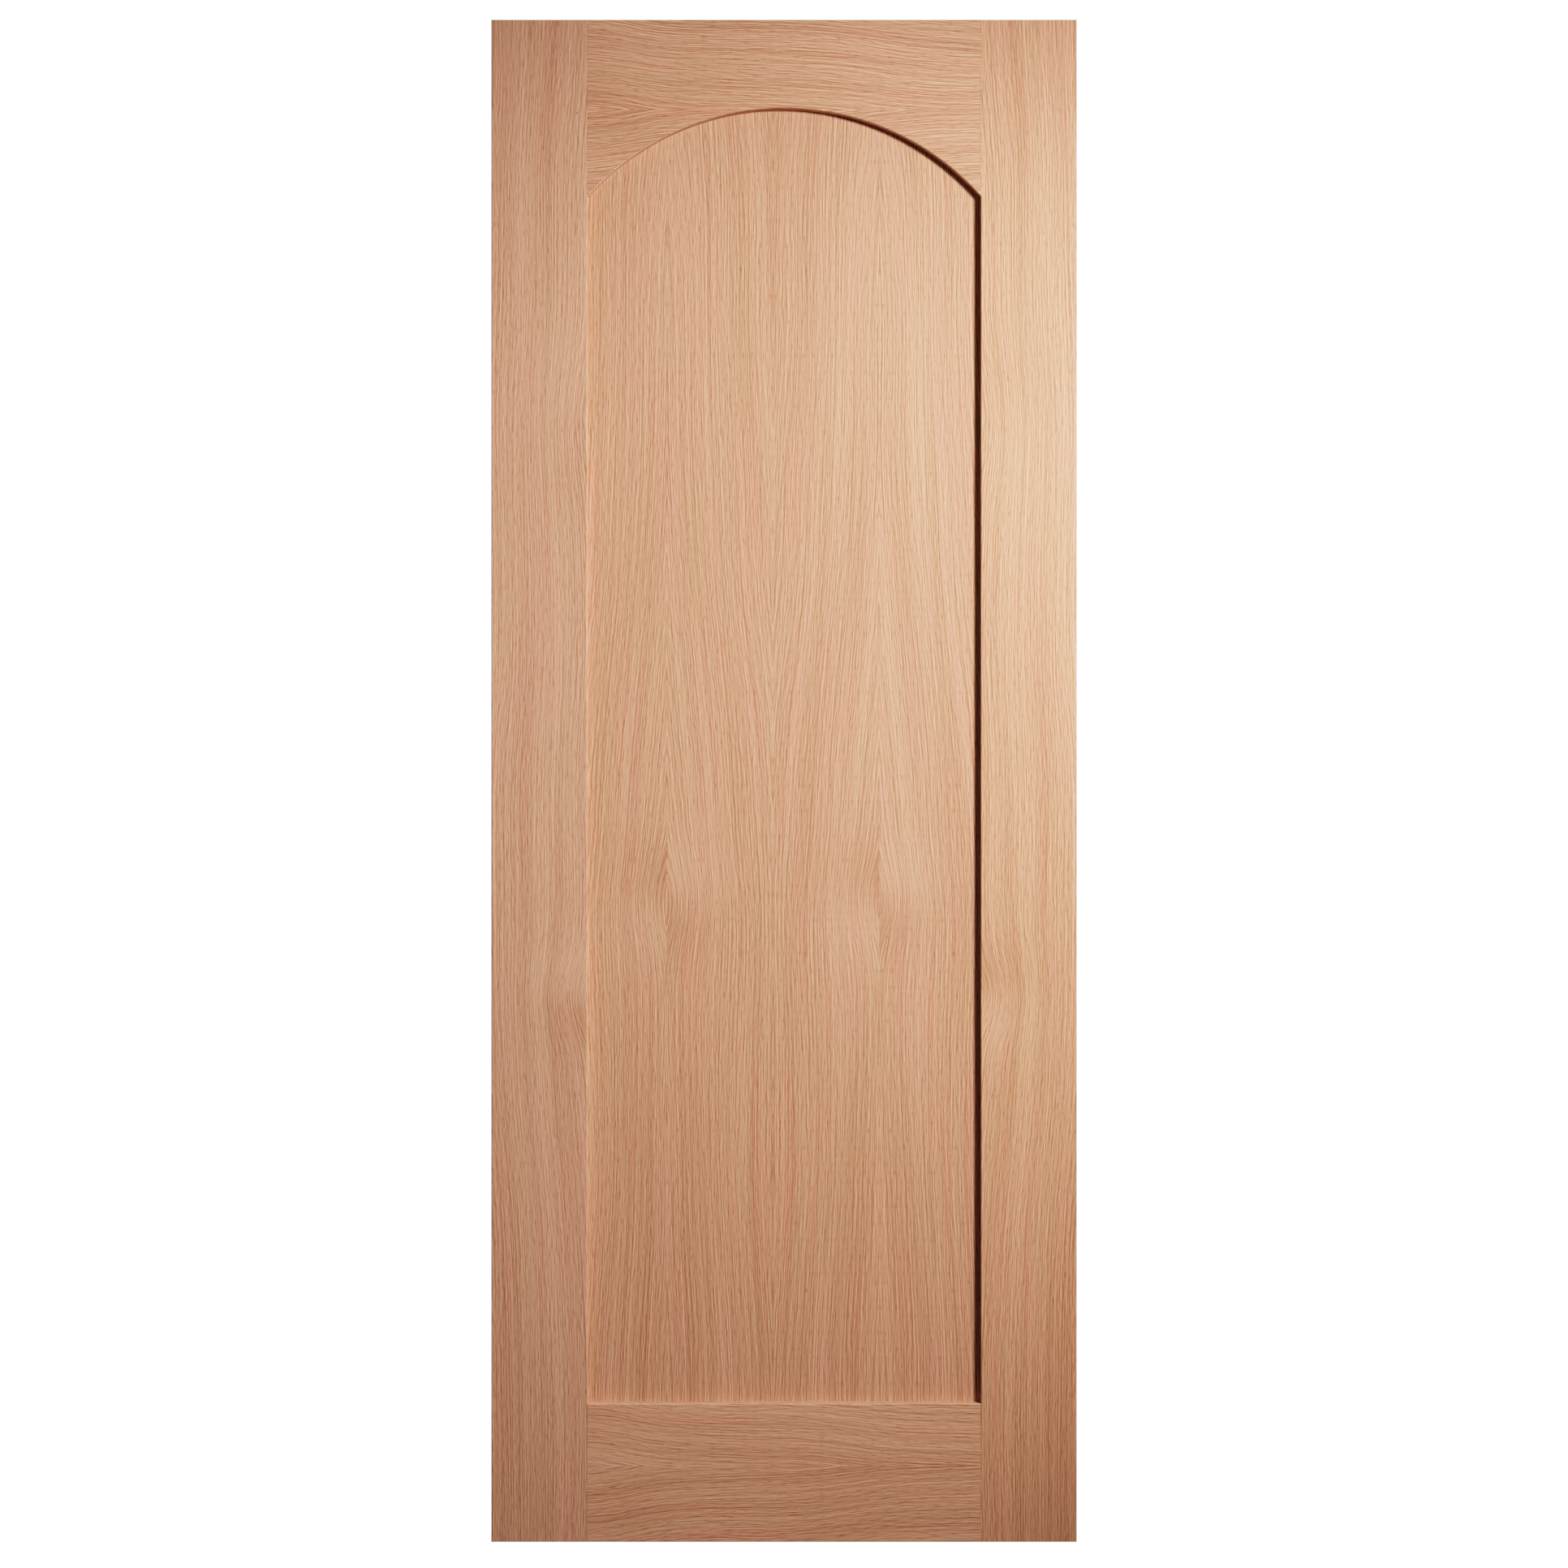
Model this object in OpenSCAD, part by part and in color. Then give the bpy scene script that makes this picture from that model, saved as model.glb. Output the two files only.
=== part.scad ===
// Arched one-panel door leaf, stile and rail, veneered in oak on both faces.
// The leaf stands upright: width along X, thickness along Y with the front at -Y, height along Z.
// The origin is at the middle of the bottom edge.
// Each stile and rail is a softwood core with solid oak lippings on its long edges and oak veneer
// on its faces. The stiles are grooved from end to end. The panel and the rails' stub tongues
// sit in that groove, and fluted dowels hold the four joints.

/* [Leaf] */
// Width of the leaf
leaf_w = 762; // [610:1:926]
// Height of the leaf
leaf_h = 1981; // [1650:1:2400]
// Thickness of the leaf
leaf_t = 35; // [28:1:50]
// Width and depth of the 45 degree arris on every outside and inside edge
arris = 1; // [0.7:0.1:1.5]

/* [Stiles and rails] */
// Width of each stile
stile_w = 125; // [95:1:150]
// Height of the bottom rail
bottom_rail_h = 180; // [110:1:300]
// Height of the top rail at the crown of the arch
crown_h = 115; // [85:1:160]
// Rise of the arch from its springing to its crown
arch_rise = 115; // [60:1:170]

/* [Make-up of each member] */
// Thickness of the veneer on every face
veneer_t = 0.6; // [0.5:0.1:0.9]
// Solid oak lipping on the outside edges of the leaf
outer_lip = 6; // [4:1:12]
// Solid oak lipping around the opening, deep enough to hold the groove
inner_lip = 14; // [11:1:20]

/* [Panel and groove] */
// Thickness of the veneered panel
panel_t = 12; // [9:0.5:16]
// Depth of the groove around the opening
groove_d = 10; // [7:0.5:13]
// Play on each side of what stands in the groove
groove_play = 0.1; // [0.05:0.05:0.3]
// Room for the panel to move at its sides and top
panel_gap = 1.5; // [1:0.1:2.5]
// Room between the end of a rail's tongue and the floor of the groove
tongue_gap = 0.8; // [0.3:0.1:1]

/* [Dowels] */
// Diameter of each dowel
dowel_d = 10; // [8:1:12]
// Length of each dowel, half in the stile and half in the rail
dowel_len = 120; // [80:1:150]
// Dowels in each joint
dowels_per_joint = 3; // [2:1:4]
// Least distance from a dowel's centre to the lipping beside it
dowel_edge = 25; // [15:1:26]
// Room at each end of a dowel for glue
dowel_end_gap = 1.5; // [1:0.5:4]
// Room around each dowel for glue
dowel_play = 0.05; // [0.05:0.05:0.2]
// Glue flutes along each dowel
flutes = 12; // [6:1:16]
// Depth of each flute
flute_depth = 0.5; // [0.3:0.1:0.8]
// Length of the tapered nose at each end of a dowel
dowel_nose = 2; // [1:0.5:4]

/* [Hidden] */
$fn = 144;
// Overshoot of a cutting body past the face that it cuts
cut = 5;

// Opening between the stiles
opening_w = leaf_w - 2 * stile_w;
opening_half = opening_w / 2;
// Arch of the opening: a circular arc over the whole opening
crown_z = leaf_h - crown_h;
arch_r = (opening_half * opening_half + arch_rise * arch_rise) / (2 * arch_rise);
arch_z = crown_z - arch_r;

// Flare that cuts the arris around the opening: it starts inside each face and runs past it
flare = arris + cut;
flare_end_y = leaf_t / 2 + cut;
waist_y = leaf_t / 2 - arris;

// Groove and what stands in it
groove_w = panel_t + 2 * groove_play;
groove_r = arch_r + groove_d;
groove_floor_z = bottom_rail_h - groove_d;
tongue_reach = opening_half + groove_d - tongue_gap;
tongue_t = panel_t;

// Panel, seated on the floor of the bottom rail's groove
panel_half = opening_half + groove_d - panel_gap;
panel_r = groove_r - panel_gap;

// Depth from the middle of the leaf to the face and to the back of the veneer, in a member and the panel
face_y = leaf_t / 2;
core_half_t = face_y - veneer_t;
panel_face_y = panel_t / 2;
panel_core_half_t = panel_face_y - veneer_t;

// Radius where the arched lipping meets the core
lip_r = arch_r + inner_lip;
// Height of the top of the arched lipping above a dowel's inner end
dowel_tip_x = opening_half - dowel_len / 2 - dowel_end_gap;
lip_over_tip_z = arch_z + sqrt(lip_r * lip_r - dowel_tip_x * dowel_tip_x);

// Heights of the dowels in each joint, spread evenly between two limits
function spread(low, high, count) = [for (i = [0:count - 1]) low + (high - low) * i / (count - 1)];
bottom_dowels_z = spread(outer_lip + dowel_edge, bottom_rail_h - inner_lip - dowel_edge, dowels_per_joint);
top_dowels_z = spread(lip_over_tip_z + dowel_edge, leaf_h - outer_lip - dowel_edge, dowels_per_joint);
JOINTS = [
    ["bottom_left_dowel_", -1, bottom_dowels_z],
    ["bottom_right_dowel_", 1, bottom_dowels_z],
    ["top_left_dowel_", -1, top_dowels_z],
    ["top_right_dowel_", 1, top_dowels_z],
];

OAK = [0.80, 0.63, 0.48];
LIPPING_OAK = [0.86, 0.70, 0.56];
SOFTWOOD = [0.89, 0.79, 0.58];
MDF = [0.66, 0.53, 0.38];
BEECH = [0.85, 0.69, 0.52];

STILE_PARTS = ["core", "outer_lipping", "inner_lipping", "front_veneer", "back_veneer"];
TOP_RAIL_PARTS = ["core", "outer_lipping", "arch_lipping", "front_veneer", "back_veneer"];

// Box between two corners
module block(low, high) {
    translate(low) cube(high - low);
}

// Solid whose section in the (Y, Z) plane is the child, lying along X from -half to half
module along_x(half) {
    translate([-half, 0, 0]) rotate([90, 0, 90]) linear_extrude(2 * half) children();
}

// Rectangle with its four corners cut off at 45 degrees by the arris
module arrised_rectangle(width, depth) {
    x = width / 2;
    y = depth / 2;
    polygon([
        [-x + arris, -y], [x - arris, -y], [x, -y + arris], [x, y - arris],
        [x - arris, y], [-x + arris, y], [-x, y - arris], [-x, -y + arris],
    ]);
}

// Whole leaf as one block, with an arris around both faces
module leaf_block() {
    intersection() {
        linear_extrude(leaf_h) arrised_rectangle(leaf_w, leaf_t);
        translate([0, 0, leaf_h / 2]) along_x(leaf_w / 2) rotate(90) arrised_rectangle(leaf_h, leaf_t);
    }
}

// Opening through the leaf, flared at both faces by the arris: straight sides and sill under an arch
module opening() {
    intersection() {
        linear_extrude(leaf_h) polygon([
            [-opening_half - flare, -flare_end_y], [opening_half + flare, -flare_end_y],
            [opening_half, -waist_y], [opening_half, waist_y],
            [opening_half + flare, flare_end_y], [-opening_half - flare, flare_end_y],
            [-opening_half, waist_y], [-opening_half, -waist_y],
        ]);
        along_x(leaf_w / 2) polygon([
            [-flare_end_y, bottom_rail_h - flare], [-waist_y, bottom_rail_h], [waist_y, bottom_rail_h],
            [flare_end_y, bottom_rail_h - flare], [flare_end_y, leaf_h], [-flare_end_y, leaf_h],
        ]);
        under_arch() rotate_extrude() polygon([
            [0, -flare_end_y], [arch_r + flare, -flare_end_y], [arch_r, -waist_y],
            [arch_r, waist_y], [arch_r + flare, flare_end_y], [0, flare_end_y],
        ]);
    }
}

// Everything under an arch: the child, a round body on the Z axis, is turned to face the front at
// the centre of the arch, and all that lies below that centre is added
module under_arch() {
    translate([0, 0, arch_z]) rotate([90, 0, 0]) children();
    block([-leaf_w, -leaf_t, -cut], [leaf_w, leaf_t, arch_z]);
}

// Everything under an arch of the given radius, cut square through the leaf
module under_round_arch(radius) {
    under_arch() cylinder(r = radius, h = 2 * leaf_t, center = true);
}

// Space that the panel's edge can stand in, around the whole opening
module panel_groove() {
    intersection() {
        block([-leaf_w, -groove_w / 2, groove_floor_z], [leaf_w, groove_w / 2, leaf_h]);
        under_round_arch(groove_r);
    }
}

// Bore for one dowel, through the shoulder of a joint on the right
module dowel_bore() {
    rotate([0, 90, 0])
        cylinder(d = dowel_d + 2 * dowel_play, h = dowel_len + 2 * dowel_end_gap, center = true);
}

// Every dowel bore on one side of the leaf
module dowel_bores(side) {
    for (z = concat(bottom_dowels_z, top_dowels_z))
        translate([side * opening_half, 0, z]) dowel_bore();
}

// Right stile before it is split into its pieces
module stile_blank() {
    difference() {
        leaf_block();
        block([-leaf_w, -leaf_t, -cut], [opening_half, leaf_t, leaf_h + cut]);
        opening();
        block(
            [opening_half - cut, -groove_w / 2, -cut],
            [opening_half + groove_d, groove_w / 2, leaf_h + cut]
        );
        dowel_bores(1);
    }
}

// Both rails before they are split: between the shoulders, with a stub tongue at each end
module rail_blank() {
    difference() {
        intersection() {
            leaf_block();
            union() {
                block([-opening_half, -leaf_t, 0], [opening_half, leaf_t, leaf_h]);
                block([-tongue_reach, -tongue_t / 2, 0], [tongue_reach, tongue_t / 2, leaf_h]);
            }
        }
        opening();
        panel_groove();
        dowel_bores(-1);
        dowel_bores(1);
    }
}

// Depths between which a veneer lies: face is -1 at the front and 1 at the back
function veneer_layer(face, back_y, front_y) = face < 0 ? [-front_y, -back_y] : [back_y, front_y];

// Part of the child between two depths
module slice(layer) {
    intersection() {
        children();
        block([-leaf_w, layer[0], -cut], [leaf_w, layer[1], leaf_h + cut]);
    }
}

// Stile with its veneers off, between two distances from the middle of the leaf
module stile_strip(low_x, high_x) {
    intersection() {
        slice([-core_half_t, core_half_t]) stile_blank();
        block([low_x, -leaf_t, -cut], [high_x, leaf_t, leaf_h + cut]);
    }
}

// Rails with their veneers off, between two heights
module rail_strip(low_z, high_z) {
    intersection() {
        slice([-core_half_t, core_half_t]) rail_blank();
        block([-leaf_w, -leaf_t, low_z], [leaf_w, leaf_t, leaf_h + cut]);
        block([-leaf_w, -leaf_t, -cut], [leaf_w, leaf_t, high_z]);
    }
}

// Copies a right-hand piece to the left side when side is -1
module on_side(side) {
    if (side > 0) children();
    else mirror([1, 0, 0]) children();
}

module stile_core(side) {
    color(SOFTWOOD) on_side(side) stile_strip(opening_half + inner_lip, leaf_w / 2 - outer_lip);
}

module stile_outer_lipping(side) {
    color(LIPPING_OAK) on_side(side) stile_strip(leaf_w / 2 - outer_lip, leaf_w);
}

module stile_inner_lipping(side) {
    color(LIPPING_OAK) on_side(side) stile_strip(opening_half, opening_half + inner_lip);
}

module stile_veneer(side, face) {
    color(OAK) on_side(side) slice(veneer_layer(face, core_half_t, face_y)) stile_blank();
}

// Veneer on the rails between two heights
module rail_veneer(face, low_z, high_z) {
    color(OAK) intersection() {
        slice(veneer_layer(face, core_half_t, face_y)) rail_blank();
        block([-leaf_w, -leaf_t, low_z], [leaf_w, leaf_t, high_z]);
    }
}

module top_rail_core() {
    color(SOFTWOOD) difference() {
        rail_strip(arch_z, leaf_h - outer_lip);
        under_round_arch(lip_r);
    }
}

module top_rail_outer_lipping() {
    color(LIPPING_OAK) rail_strip(leaf_h - outer_lip, leaf_h + cut);
}

module top_rail_arch_lipping() {
    color(LIPPING_OAK) intersection() {
        rail_strip(arch_z, leaf_h - outer_lip);
        under_round_arch(lip_r);
    }
}

module top_rail_veneer(face) {
    rail_veneer(face, arch_z, leaf_h + cut);
}

module bottom_rail_core() {
    color(SOFTWOOD) rail_strip(outer_lip, bottom_rail_h - inner_lip);
}

module bottom_rail_outer_lipping() {
    color(LIPPING_OAK) rail_strip(-cut, outer_lip);
}

module bottom_rail_inner_lipping() {
    color(LIPPING_OAK) rail_strip(bottom_rail_h - inner_lip, bottom_rail_h);
}

module bottom_rail_veneer(face) {
    rail_veneer(face, -cut, bottom_rail_h);
}

// Outline of the panel, with straight sides under an arch, between two depths
module panel_layer(layer) {
    intersection() {
        block([-panel_half, layer[0], groove_floor_z], [panel_half, layer[1], leaf_h]);
        under_round_arch(panel_r);
    }
}

module panel_core() {
    color(MDF) panel_layer([-panel_core_half_t, panel_core_half_t]);
}

module panel_veneer(face) {
    color(OAK) panel_layer(veneer_layer(face, panel_core_half_t, panel_face_y));
}

// Fluted dowel along X, its middle at the origin, with a tapered nose at each end
module dowel() {
    flute_r = dowel_d / flutes;
    nose_r = dowel_d / 2 - dowel_nose / 2;
    color(BEECH) rotate([0, 90, 0]) intersection() {
        translate([0, 0, -dowel_len / 2]) linear_extrude(dowel_len) difference() {
            circle(d = dowel_d);
            for (i = [0:flutes - 1]) rotate(i * 360 / flutes)
                translate([dowel_d / 2 - flute_depth + flute_r, 0]) circle(r = flute_r);
        }
        rotate_extrude() polygon([
            [0, -dowel_len / 2], [nose_r, -dowel_len / 2],
            [dowel_d / 2 + flute_depth, -dowel_len / 2 + dowel_nose],
            [dowel_d / 2 + flute_depth, dowel_len / 2 - dowel_nose],
            [nose_r, dowel_len / 2], [0, dowel_len / 2],
        ]);
    }
}

stile_core(-1);  // left_stile_core
stile_outer_lipping(-1);  // left_stile_outer_lipping
stile_inner_lipping(-1);  // left_stile_inner_lipping
stile_veneer(-1, -1);  // left_stile_front_veneer
stile_veneer(-1, 1);  // left_stile_back_veneer
stile_core(1);  // right_stile_core
stile_outer_lipping(1);  // right_stile_outer_lipping
stile_inner_lipping(1);  // right_stile_inner_lipping
stile_veneer(1, -1);  // right_stile_front_veneer
stile_veneer(1, 1);  // right_stile_back_veneer
top_rail_core();
top_rail_outer_lipping();
top_rail_arch_lipping();
top_rail_veneer(-1);  // top_rail_front_veneer
top_rail_veneer(1);  // top_rail_back_veneer
bottom_rail_core();
bottom_rail_outer_lipping();
bottom_rail_inner_lipping();
bottom_rail_veneer(-1);  // bottom_rail_front_veneer
bottom_rail_veneer(1);  // bottom_rail_back_veneer
panel_core();
panel_veneer(-1);  // panel_front_veneer
panel_veneer(1);  // panel_back_veneer
for (joint = JOINTS, i = [1:dowels_per_joint])
    translate([joint[1] * opening_half, 0, joint[2][i - 1]]) dowel();
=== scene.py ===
"""Looks of an arched oak door leaf: its finishes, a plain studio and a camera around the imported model.

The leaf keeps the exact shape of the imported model. Every node gets the finish of what it is made of:
crown-cut oak veneer laid in matched leaves, solid oak lippings, softwood staves, fibreboard or beech.
Lengths inside the finishes are in millimetres. Everything placed in the scene is in metres.
"""

import logging
import math
from dataclasses import dataclass, replace
from enum import Enum

import bpy
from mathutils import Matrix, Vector

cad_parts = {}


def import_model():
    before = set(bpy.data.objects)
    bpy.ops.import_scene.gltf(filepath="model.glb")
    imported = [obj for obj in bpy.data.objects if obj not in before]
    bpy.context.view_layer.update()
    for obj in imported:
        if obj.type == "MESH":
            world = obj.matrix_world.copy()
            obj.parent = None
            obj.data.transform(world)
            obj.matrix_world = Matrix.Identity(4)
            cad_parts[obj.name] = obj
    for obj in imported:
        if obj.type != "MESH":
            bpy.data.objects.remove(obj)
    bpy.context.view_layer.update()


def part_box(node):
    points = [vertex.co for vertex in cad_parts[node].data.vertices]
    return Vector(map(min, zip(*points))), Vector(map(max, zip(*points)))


LOG = logging.getLogger("door_leaf")
MM_PER_M = 1000.0
HALF = 0.5

# The colour sockets of a Mix node: its two inputs and its result.
MIX_UNDER = 6
MIX_OVER = 7
MIX_RESULT = 2

# The curve of a curve mapping that acts on all three colours alike.
COMBINED_CURVE = 3

# A camera looks straight down until it is turned, so this turn about X makes it level.
LEVEL = math.radians(90.0)

Colour = tuple[float, float, float]
Place = tuple[float, float, float]
Span = tuple[float, float]


class Along(Enum):
    """Which way the grain of a solid piece runs."""

    UP = "up the leaf"
    ACROSS = "across the leaf"
    ARCH = "round the arch"


class Face(Enum):
    """Which face of the leaf a sheet of veneer lies on."""

    FRONT = "front"
    BACK = "back"


class Side(Enum):
    """Which side of the leaf a stile stands on, as the sign of its place across the leaf."""

    LEFT = -1.0
    RIGHT = 1.0


class Blend(Enum):
    """Ways of laying one colour over another."""

    COVER = "MIX"
    STAIN = "MULTIPLY"


@dataclass(frozen=True)
class Field:
    """A number that varies over a surface: one node's output, with the usual arithmetic."""

    tree: bpy.types.NodeTree
    socket: bpy.types.NodeSocket

    def math(self, operation: str, *others: "Field | float") -> "Field":
        """Feeds this field, then the others, into one math node.

        Args:
            operation: Name of the math node's operation.
            *others: The node's second and third inputs.

        Returns:
            The node's output.
        """
        node = self.tree.nodes.new("ShaderNodeMath")
        node.operation = operation
        self.tree.links.new(self.socket, node.inputs[0])
        for socket, value in zip(list(node.inputs)[1:], others):
            if isinstance(value, Field):
                self.tree.links.new(value.socket, socket)
            else:
                socket.default_value = value
        return Field(self.tree, node.outputs[0])

    def __add__(self, other: "Field | float") -> "Field":
        """Sum of two fields."""
        return self.math("ADD", other)

    def __sub__(self, other: "Field | float") -> "Field":
        """This field less another."""
        return self.math("SUBTRACT", other)

    def __mul__(self, other: "Field | float") -> "Field":
        """Product of two fields."""
        return self.math("MULTIPLY", other)

    def __truediv__(self, other: "Field | float") -> "Field":
        """This field over another."""
        return self.math("DIVIDE", other)

    def apart(self, place: float) -> "Field":
        """Distance of this field from one value."""
        return (self - place).math("ABSOLUTE")

    def bell(self) -> "Field":
        """One at zero, falling away on both sides as the exponential of minus half the square."""
        return (self * self * -HALF).math("EXPONENT")

    def nought(self) -> "Field":
        """Nought everywhere, to add up other fields on."""
        return self * 0.0

    def short_of(self, total: float) -> "Field":
        """One value less this field."""
        return self * -1.0 + total

    def alternating(self) -> "Field":
        """One on even whole numbers and minus one on odd ones."""
        return (self.math("FLOORED_MODULO", 2.0) * 2.0).short_of(1.0)

    def line(self, half_width: float) -> "Field":
        """Thin soft line where this field passes nought."""
        return (self / half_width).bell()

    def step(self, low: float, high: float) -> "Field":
        """Smooth step from nought at low to one at high.

        Args:
            low: Value where the step starts.
            high: Value where the step ends.

        Returns:
            The stepped field.
        """
        node = self.tree.nodes.new("ShaderNodeMapRange")
        node.interpolation_type = "SMOOTHSTEP"
        self.tree.links.new(self.socket, node.inputs["Value"])
        node.inputs["From Min"].default_value = low
        node.inputs["From Max"].default_value = high
        return Field(self.tree, node.outputs["Result"])


class Recipe:
    """Node tree of one finish, filled step by step."""

    def __init__(self, name: str) -> None:
        """Starts an empty material.

        Args:
            name: Name of the finish.
        """
        self.material = bpy.data.materials.new(name)
        self.material.use_nodes = True
        self.tree = self.material.node_tree
        self.tree.nodes.clear()

    def place(self) -> tuple[Field, Field, Field]:
        """Finds the place on the leaf.

        Returns:
            Its distances in millimetres across the leaf, through it and up it.
        """
        where = self.tree.nodes.new("ShaderNodeTexCoord")
        split = self.tree.nodes.new("ShaderNodeSeparateXYZ")
        self.tree.links.new(where.outputs["Object"], split.inputs[0])
        across, depth, height = (Field(self.tree, output) * MM_PER_M for output in split.outputs)
        return across, depth, height

    def _vector(self, parts: tuple["Field | float", ...]) -> bpy.types.NodeSocket:
        """Joins three numbers into one vector.

        Args:
            parts: The three numbers.

        Returns:
            The vector's socket.
        """
        join = self.tree.nodes.new("ShaderNodeCombineXYZ")
        for socket, value in zip(join.inputs, parts):
            if isinstance(value, Field):
                self.tree.links.new(value.socket, socket)
            else:
                socket.default_value = value
        return join.outputs[0]

    def noise(self, *parts: "Field | float", octaves: float = 0.0) -> Field:
        """Smooth random field between about minus one and one, with one swing per unit.

        Args:
            *parts: The three numbers that say where in the noise each point lies.
            octaves: Finer layers of noise added to the first.

        Returns:
            The signed noise.
        """
        node = self.tree.nodes.new("ShaderNodeTexNoise")
        node.noise_dimensions = "3D"
        node.normalize = False
        node.inputs["Scale"].default_value = 1.0
        node.inputs["Detail"].default_value = octaves
        self.tree.links.new(self._vector(parts), node.inputs["Vector"])
        return Field(self.tree, node.outputs[0])

    def specks(self, *parts: "Field | float") -> tuple[Field, Field]:
        """Scattered points, one in each cell of unit size.

        Args:
            *parts: The three numbers that say where each point of the surface lies.

        Returns:
            The distance to the nearest speck, and a random number that is that speck's own.
        """
        node = self.tree.nodes.new("ShaderNodeTexVoronoi")
        node.feature = "F1"
        node.inputs["Scale"].default_value = 1.0
        self.tree.links.new(self._vector(parts), node.inputs["Vector"])
        split = self.tree.nodes.new("ShaderNodeSeparateColor")
        self.tree.links.new(node.outputs["Color"], split.inputs[0])
        return Field(self.tree, node.outputs["Distance"]), Field(self.tree, split.outputs[0])

    def lay(
        self,
        under: "bpy.types.NodeSocket | Colour",
        over: "bpy.types.NodeSocket | Colour",
        amount: Field,
        how: Blend = Blend.COVER,
    ) -> bpy.types.NodeSocket:
        """Lays one colour over another.

        Args:
            under: Colour beneath.
            over: Colour laid on it.
            amount: How much of it is laid on, from nought to one.
            how: Whether it covers or stains.

        Returns:
            The mixed colour's socket.
        """
        node = self.tree.nodes.new("ShaderNodeMix")
        node.data_type = "RGBA"
        node.blend_type = how.value
        node.clamp_factor = True
        self.tree.links.new(amount.socket, node.inputs[0])
        for socket, value in ((node.inputs[MIX_UNDER], under), (node.inputs[MIX_OVER], over)):
            if isinstance(value, tuple):
                socket.default_value = (*value, 1.0)
            else:
                self.tree.links.new(value, socket)
        return node.outputs[MIX_RESULT]

    def finish(
        self, colour: bpy.types.NodeSocket, roughness: Field, height: Field, surface: "Surface"
    ) -> bpy.types.Material:
        """Closes the recipe with one shader.

        Args:
            colour: Socket of the surface colour.
            roughness: Roughness over the surface.
            height: Height of the surface in millimetres, for its bump.
            surface: How the wood was worked.

        Returns:
            The finished material.
        """
        shader = self.tree.nodes.new("ShaderNodeBsdfPrincipled")
        output = self.tree.nodes.new("ShaderNodeOutputMaterial")
        bump = self.tree.nodes.new("ShaderNodeBump")
        bump.inputs["Distance"].default_value = 1.0 / MM_PER_M
        bump.inputs["Strength"].default_value = surface.relief
        link = self.tree.links.new
        link(height.socket, bump.inputs["Height"])
        link(bump.outputs[0], shader.inputs["Normal"])
        link(colour, shader.inputs["Base Color"])
        link(roughness.socket, shader.inputs["Roughness"])
        shader.inputs["Specular IOR Level"].default_value = surface.gloss
        link(shader.outputs[0], output.inputs["Surface"])
        return self.material


@dataclass(frozen=True)
class Surface:
    """How worked wood meets the light: its gloss, and how far its grain stands out."""

    gloss: float
    relief: float


SANDED = Surface(gloss=0.28, relief=0.9)
SAWN = Surface(gloss=0.25, relief=1.0)


@dataclass(frozen=True)
class Layer:
    """Random streaks of one kind: their width, length and strength, and where in the noise they start."""

    width: float
    length: float
    weight: float
    start: float = 0.0

    def over(self, recipe: Recipe, across: Field, along: Field, leaf: "Field | float") -> Field:
        """Streaks along the grain: smooth noise, drawn out lengthwise.

        Args:
            recipe: Recipe that the streaks are for.
            across: Distance across the grain.
            along: Distance along the grain.
            leaf: Place in the flitch, which changes the streaks slowly from one leaf to the next.

        Returns:
            A signed field of about the layer's weight.
        """
        return recipe.noise(across / self.width, along / self.length, leaf + self.start) * self.weight


@dataclass(frozen=True)
class Drift:
    """A slow sideways move of the grain lines: they move by shift, mostly within reach of one place."""

    at: float
    reach: float
    shift: float

    def bend(self, along: Field, beside: Field) -> tuple[Field, Field]:
        """Works out the move and its slope: half the shift times one plus the hyperbolic tangent.

        Args:
            along: Distance along the grain.
            beside: Distance from the sheet's matched edge; not used, as a drift doesn't depend on it.

        Returns:
            How far the lines have moved sideways, and the slope that this gives them.
        """
        turn = ((along - self.at) / self.reach).math("TANH")
        moved = turn * (self.shift * HALF) + self.shift * HALF
        slope = (turn * turn).short_of(1.0) * (self.shift * HALF / self.reach)
        return moved, slope


@dataclass(frozen=True)
class KnotFlow:
    """Grain lines parted by a knot at the sheet's matched edge.

    They are pushed away from the edge by push at most, within spread of the knot along the grain. The
    push is strongest at peak from a line that lies set_back outside the edge, and fades beyond it.
    """

    at: float
    spread: float
    push: float
    peak: float
    set_back: float

    def bend(self, along: Field, beside: Field) -> tuple[Field, Field]:
        """Works out the move and its slope: the push times a bell along the grain times a fading hump.

        Args:
            along: Distance along the grain.
            beside: Distance from the sheet's matched edge.

        Returns:
            How far the lines have moved sideways, and the slope that this gives them.
        """
        offset = (along - self.at) / self.spread
        away = (beside + self.set_back) / self.peak
        hump = away * away.short_of(1.0).math("EXPONENT")
        moved = offset.bell() * hump * self.push
        slope = moved * offset * (-1.0 / self.spread)
        return moved, slope


@dataclass(frozen=True)
class PinKnot:
    """A pin knot: a small dark oval, long along the grain."""

    at: float
    beside: float
    half_width: float = 1.1
    half_length: float = 1.9
    edge: Span = (1.6, 0.5)

    def spot(self, along: Field, beside: Field) -> Field:
        """One on the knot, nought beyond it: a soft oval.

        Args:
            along: Distance along the grain.
            beside: Distance from the sheet's matched edge.

        Returns:
            How much of the knot's colour shows.
        """
        offset = (along - self.at) / self.half_length
        away = (beside - self.beside) / self.half_width
        return (offset * offset + away * away).step(*self.edge)


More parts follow.
